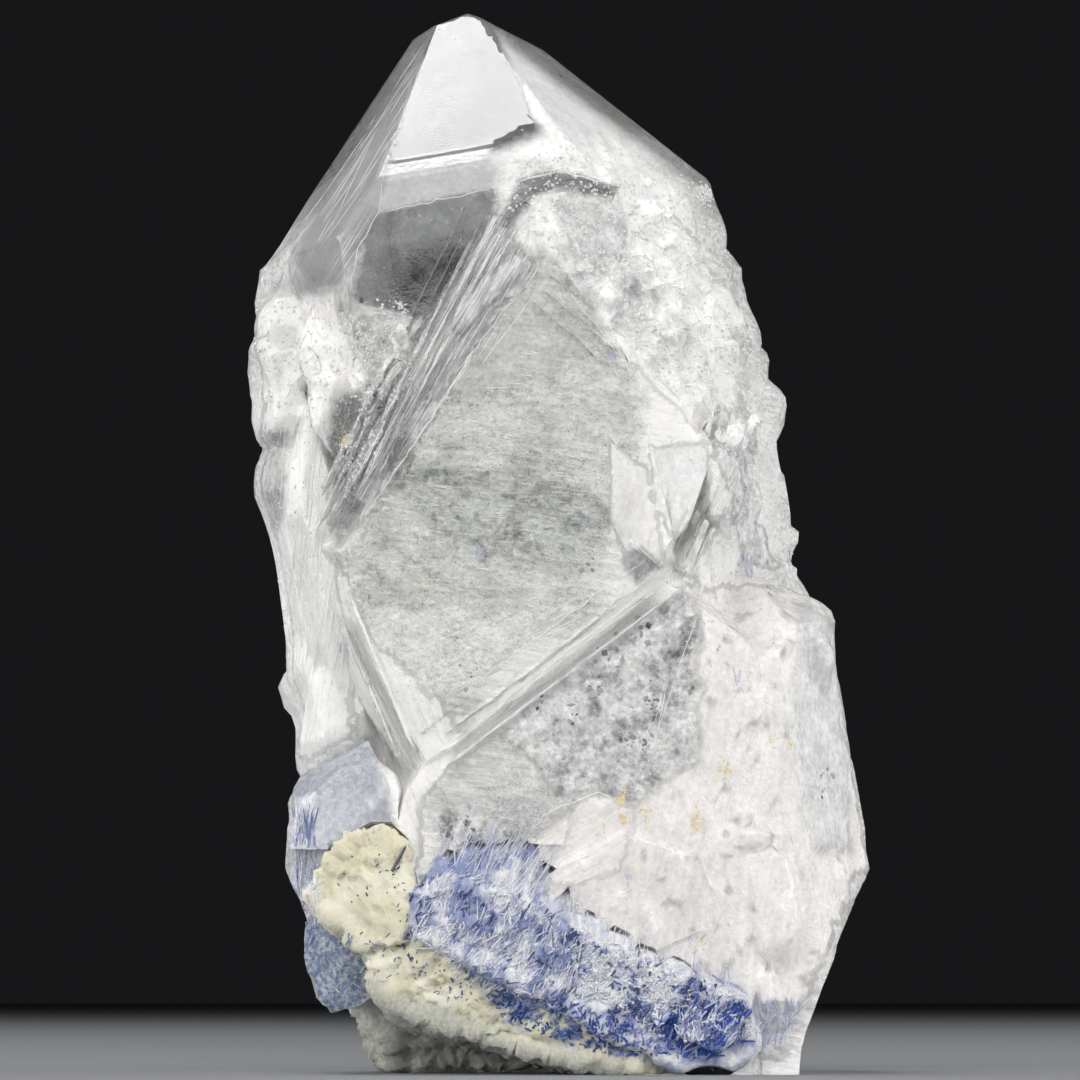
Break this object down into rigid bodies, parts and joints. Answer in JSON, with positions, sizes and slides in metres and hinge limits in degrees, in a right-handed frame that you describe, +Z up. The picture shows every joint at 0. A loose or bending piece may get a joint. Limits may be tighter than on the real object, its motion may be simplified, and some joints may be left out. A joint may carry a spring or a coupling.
{
  "type": "dumortierite quartz crystal",
  "caption": "Upright group of intergrown quartz crystals with a spray of blue dumortierite needles at the foot, on cream feldspar, cut flat beneath.",
  "frame": {"origin": "on the surface that the specimen stands on, under the middle of its bounding box", "axes": "+Z up along the crystal's length, +X to the right as seen from the front, -Y towards the viewer who faces the clear tip face and the blue spray"},
  "size_m": [0.0186, 0.014, 0.0318],
  "materials": {
    "quartz": "clear at the tip, milky and finely rough elsewhere",
    "feldspar": "matt, granular, cream with dark specks",
    "dumortierite": "silky fibrous blue"
  },
  "bodies": {
    "root": {"quartz_crystal": "quartz", "feldspar_matrix": "feldspar", "dumortierite_spray": "dumortierite"}
  },
  "joints": []
}
